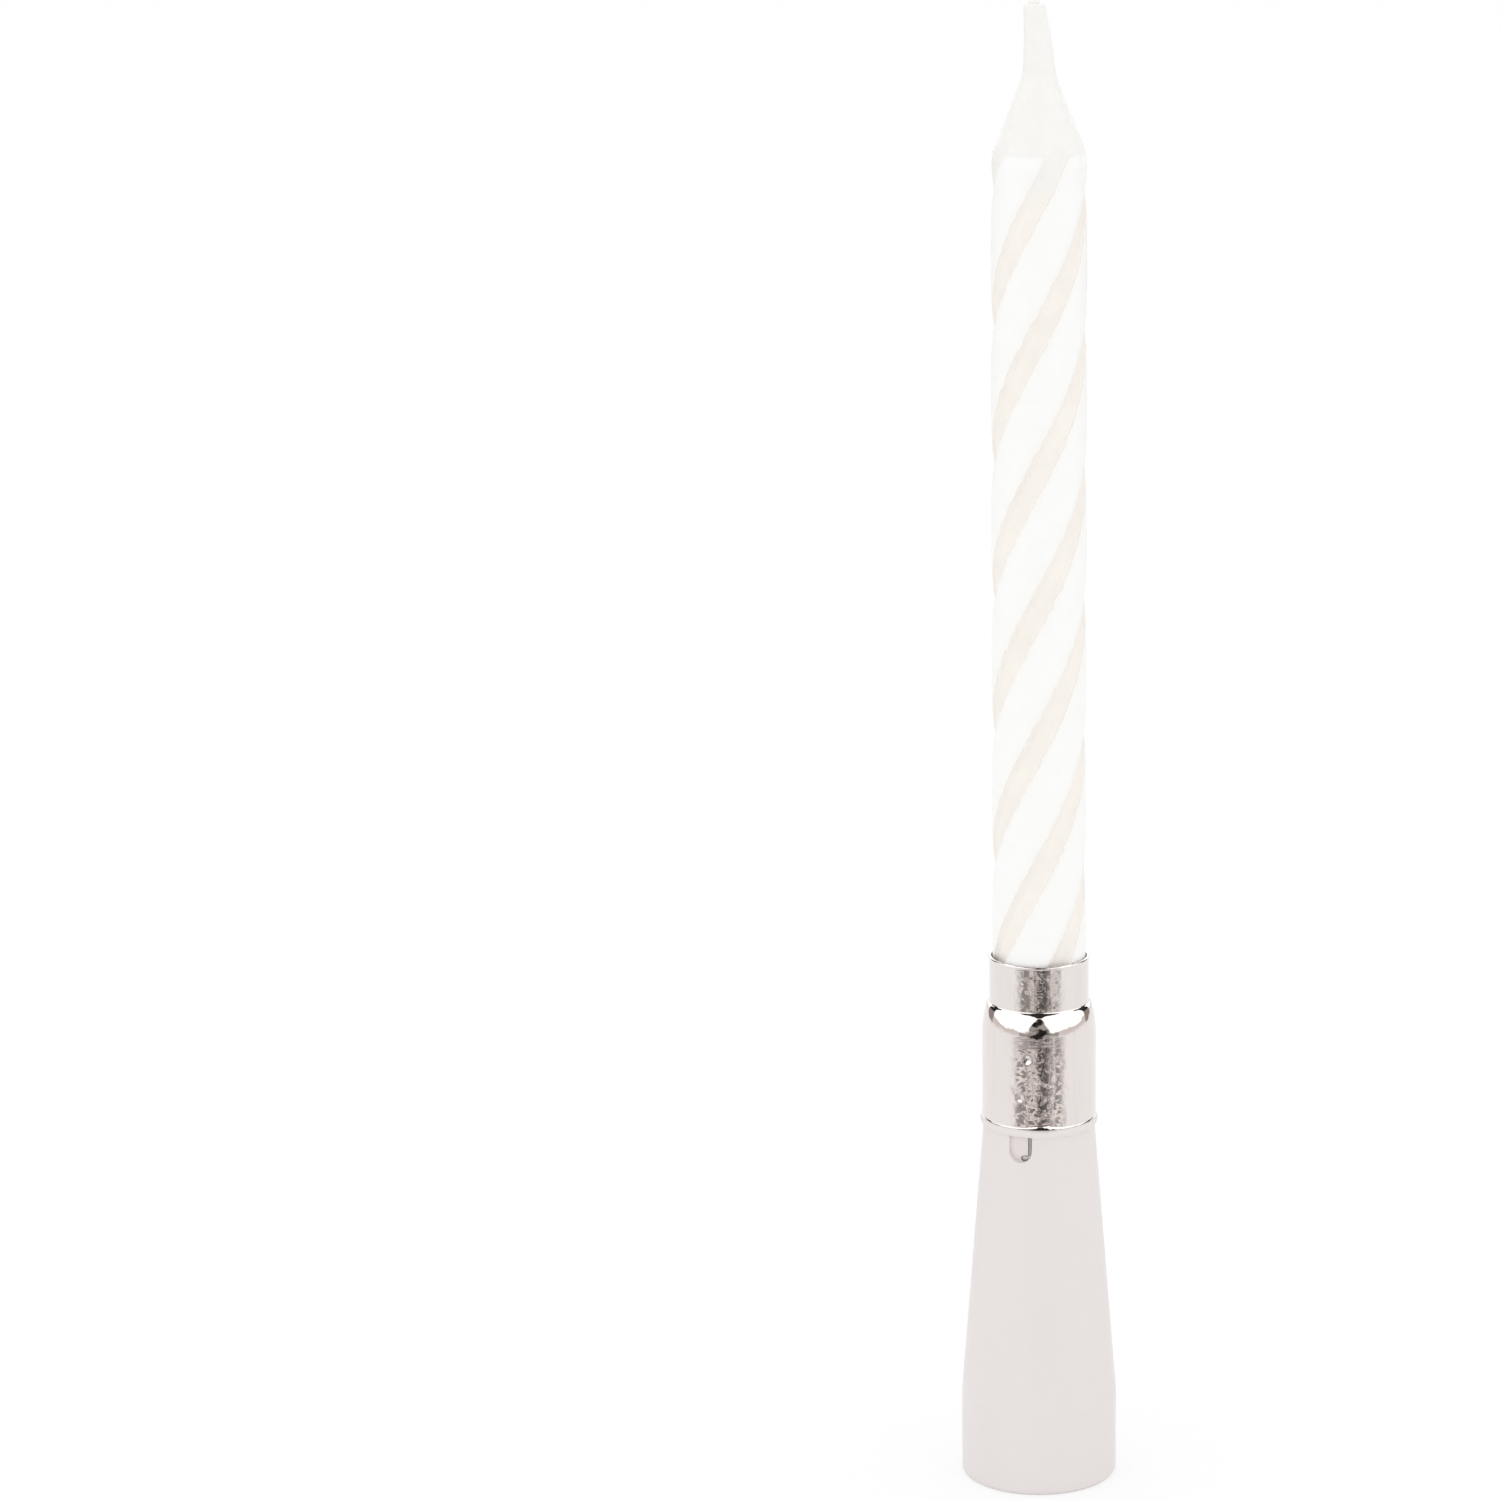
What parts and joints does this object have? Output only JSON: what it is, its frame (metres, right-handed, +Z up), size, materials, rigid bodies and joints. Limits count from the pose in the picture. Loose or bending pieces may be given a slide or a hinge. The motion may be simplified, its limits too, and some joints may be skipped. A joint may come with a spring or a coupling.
{
  "type": "birthday candle in a flashing holder",
  "caption": "Spiral striped birthday candle in a stepped metal ferrule on a tapered milky plastic base; the ferrule twists to switch a lamp inside, and the candle pulls out upward.",
  "frame": {"origin": "centre of the flat foot, on the floor", "axes": "+Z up along the candle's axis, -Y to the front, where the notch under the ferrule shows left of the middle"},
  "size_m": [0.0094, 0.0094, 0.0903],
  "materials": {
    "core_wax": "satin cream wax",
    "white_wax": "satin white wax",
    "wick_cotton": "waxed cotton",
    "ferrule_metal": "bright plated sheet, lightly flecked",
    "base_plastic": "satin milky plastic",
    "plug_plastic": "satin milky plastic",
    "strip_metal": "bright rolled strip",
    "wrap_film": "shrunk film",
    "cell_steel": "plated steel",
    "gasket_nylon": "moulded seal",
    "lens_epoxy": "clear cast epoxy",
    "chip_die": "die",
    "lead_metal": "tinned wire"
  },
  "bodies": {
    "base": {"base_shell": "base_plastic", "base_plug": "plug_plastic", "contact_strip": "strip_metal", "cell_wrap": "wrap_film", "cell_can_1": "cell_steel", "cell_can_2": "cell_steel", "cell_can_3": "cell_steel", "cell_gasket_1": "gasket_nylon", "cell_gasket_2": "gasket_nylon", "cell_gasket_3": "gasket_nylon", "cell_cap_1": "cell_steel", "cell_cap_2": "cell_steel", "cell_cap_3": "cell_steel", "led_lens": "lens_epoxy", "led_chip": "chip_die", "led_anode_lead": "lead_metal", "led_cathode_lead": "lead_metal"},
    "ferrule": {"ferrule": "ferrule_metal"},
    "candle": {"candle_core": "core_wax", "white_coat_1": "white_wax", "white_coat_2": "white_wax", "white_coat_3": "white_wax", "white_coat_4": "white_wax", "wick": "wick_cotton"}
  },
  "joints": [
    {"name": "ferrule_twist", "type": "hinge", "parent": "base", "child": "ferrule", "pos_m": [0, 0, 0.02495], "axis": [0, 0, 1], "range_deg": [0, 60]},
    {"name": "candle_pull", "type": "slide", "parent": "ferrule", "child": "candle", "axis": [0, 0, 1], "range_m": [0, 0.015]}
  ]
}
